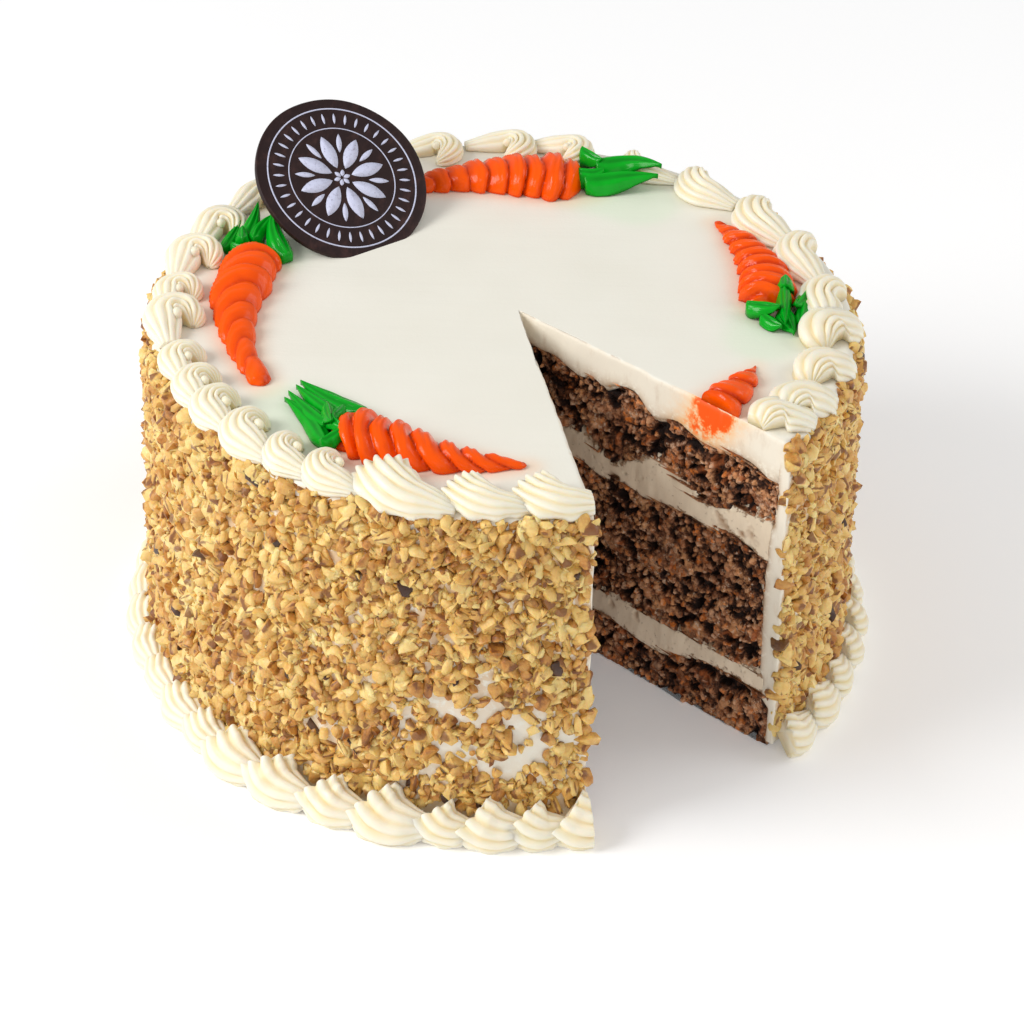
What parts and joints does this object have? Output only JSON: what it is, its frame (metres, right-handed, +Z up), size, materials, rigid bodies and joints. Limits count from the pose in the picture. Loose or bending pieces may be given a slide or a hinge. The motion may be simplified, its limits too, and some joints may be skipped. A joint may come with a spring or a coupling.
{
  "type": "carrot cake",
  "caption": "Round layered carrot cake with a slice missing, cream icing, chopped nuts on the side, piped shell borders, piped carrots and a chocolate disc.",
  "frame": {"origin": "centre of the footprint on the surface that the cake stands on", "axes": "+Z up, along the cake's axis; -Y towards the front, with the missing slice at the front right, between -Y and +X"},
  "size_m": [0.2284, 0.2298, 0.1384],
  "materials": {
    "sponge": "open brown crumb with shredded carrot",
    "filling": "soft off-white cream, cut",
    "icing": "smooth warm ivory cream",
    "piping": "piped warm ivory cream",
    "nuts": "chopped walnut, golden to brown",
    "carrot_piping": "glossy orange piped icing",
    "leaf_piping": "glossy green piped icing",
    "chocolate": "satin dark chocolate",
    "print": "pale printed lines"
  },
  "bodies": {
    "root": {"sponge_bottom": "sponge", "sponge_middle": "sponge", "sponge_top": "sponge", "filling_lower": "filling", "filling_upper": "filling", "icing_coat": "icing", "border_top": "piping", "border_base": "piping", "carrot_left": "carrot_piping", "carrot_front": "carrot_piping", "carrot_right": "carrot_piping", "carrot_back": "carrot_piping", "carrot_cut": "carrot_piping", "leaves_left": "leaf_piping", "leaves_front": "leaf_piping", "leaves_right": "leaf_piping", "leaves_back": "leaf_piping", "plaque": "chocolate"}
  },
  "joints": []
}
